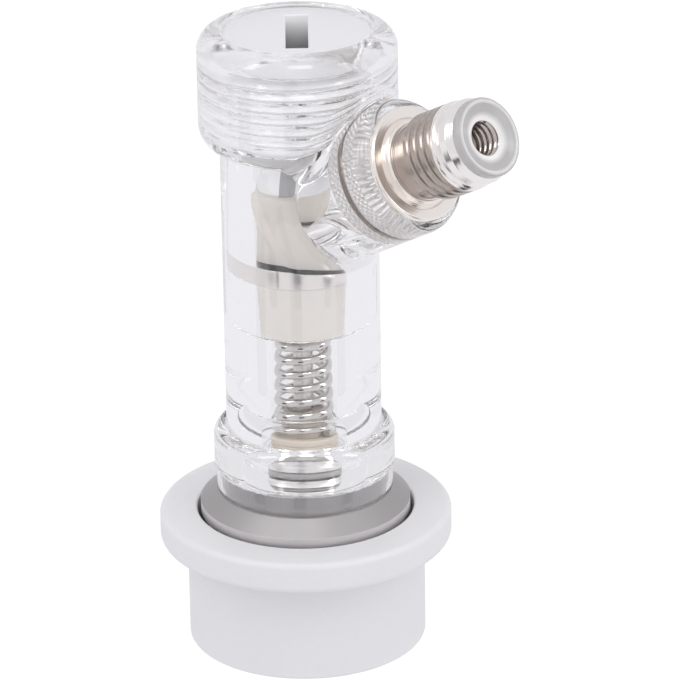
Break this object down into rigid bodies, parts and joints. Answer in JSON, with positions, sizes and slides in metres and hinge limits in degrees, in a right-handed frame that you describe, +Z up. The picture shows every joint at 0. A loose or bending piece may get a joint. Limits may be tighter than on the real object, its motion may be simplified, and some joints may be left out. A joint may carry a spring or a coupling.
{
  "type": "ball lock disconnect",
  "caption": "Clear-bodied gas disconnect for a beverage keg post, with a lifting ball lock collar, sprung poppet and angled flare outlet.",
  "frame": {"origin": "on the main axis, in the bottom plane of the collar, where the keg post enters", "axes": "+Z up along the main axis; the side port points towards +X and rises 28 degrees; Y across"},
  "size_m": [0.052, 0.0372, 0.0819],
  "materials": {
    "clear_plastic": "polished clear polycarbonate",
    "cap_plastic": "light grey moulded acetal",
    "black_rubber": "black rubber",
    "natural_acetal": "natural acetal",
    "polished_steel": "polished stainless steel",
    "spring_steel": "bright stainless wire",
    "cream_acetal": "cream acetal",
    "cream_rubber": "cream silicone rubber",
    "nylon": "translucent nylon",
    "satin_steel": "satin turned stainless steel",
    "ball_steel": "mirror steel",
    "grey_plastic": "satin light grey moulded plastic"
  },
  "bodies": {
    "housing": {"clear_body": "clear_plastic", "outlet_sleeve": "natural_acetal", "sleeve_gasket": "black_rubber", "retaining_ring": "polished_steel", "spring_seat": "natural_acetal", "valve_spring": "spring_steel", "port_insert": "polished_steel", "flare_washer": "nylon", "ball_cage": "satin_steel", "neck_oring": "black_rubber", "collar_spring": "spring_steel", "snap_ring": "spring_steel"},
    "lock_collar": {"collar": "grey_plastic", "ramp_ring": "satin_steel"},
    "poppet": {"poppet_button": "cream_acetal", "poppet_seal": "cream_rubber", "poppet_pin": "polished_steel", "pin_clip": "spring_steel"},
    "ball_1": {"lock_ball_1": "ball_steel"},
    "ball_2": {"lock_ball_2": "ball_steel"},
    "ball_3": {"lock_ball_3": "ball_steel"},
    "ball_4": {"lock_ball_4": "ball_steel"},
    "cap_carrier": {"cap_oring": "black_rubber"},
    "cap": {"cap_plug": "cap_plastic"}
  },
  "joints": [
    {"name": "collar_lift", "type": "slide", "parent": "housing", "child": "lock_collar", "axis": [0, 0, 1], "range_m": [0, 0.0042], "stiffness_N_per_m": 900, "springref_m": -0.004, "deforming": ["collar_spring"]},
    {"name": "poppet_lift", "type": "slide", "parent": "housing", "child": "poppet", "axis": [0, 0, 1], "range_m": [0, 0.0035], "stiffness_N_per_m": 500, "springref_m": -0.004, "deforming": ["valve_spring"]},
    {"name": "ball_1_out", "type": "slide", "parent": "housing", "child": "ball_1", "axis": [0.7071, 0.7071, 0], "range_m": [0, 0.00113]},
    {"name": "ball_2_out", "type": "slide", "parent": "housing", "child": "ball_2", "axis": [-0.7071, 0.7071, 0], "range_m": [0, 0.00113]},
    {"name": "ball_3_out", "type": "slide", "parent": "housing", "child": "ball_3", "axis": [-0.7071, -0.7071, 0], "range_m": [0, 0.00113]},
    {"name": "ball_4_out", "type": "slide", "parent": "housing", "child": "ball_4", "axis": [0.7071, -0.7071, 0], "range_m": [0, 0.00113]},
    {"name": "cap_rise", "type": "slide", "parent": "housing", "child": "cap_carrier", "axis": [0, 0, 1], "range_m": [0, 0.0105]},
    {"name": "cap_turn", "type": "hinge", "parent": "cap_carrier", "child": "cap", "pos_m": [0, 0, 0.07], "axis": [0, 0, 1], "range_deg": [0, 2526]}
  ],
  "couplings": [
    {"joint": "ball_1_out", "follows": "collar_lift", "ratio": 0.26667},
    {"joint": "ball_2_out", "follows": "collar_lift", "ratio": 0.26667},
    {"joint": "ball_3_out", "follows": "collar_lift", "ratio": 0.26667},
    {"joint": "ball_4_out", "follows": "collar_lift", "ratio": 0.26667},
    {"joint": "cap_turn", "follows": "cap_rise", "rad_per_m": 4188.8}
  ]
}
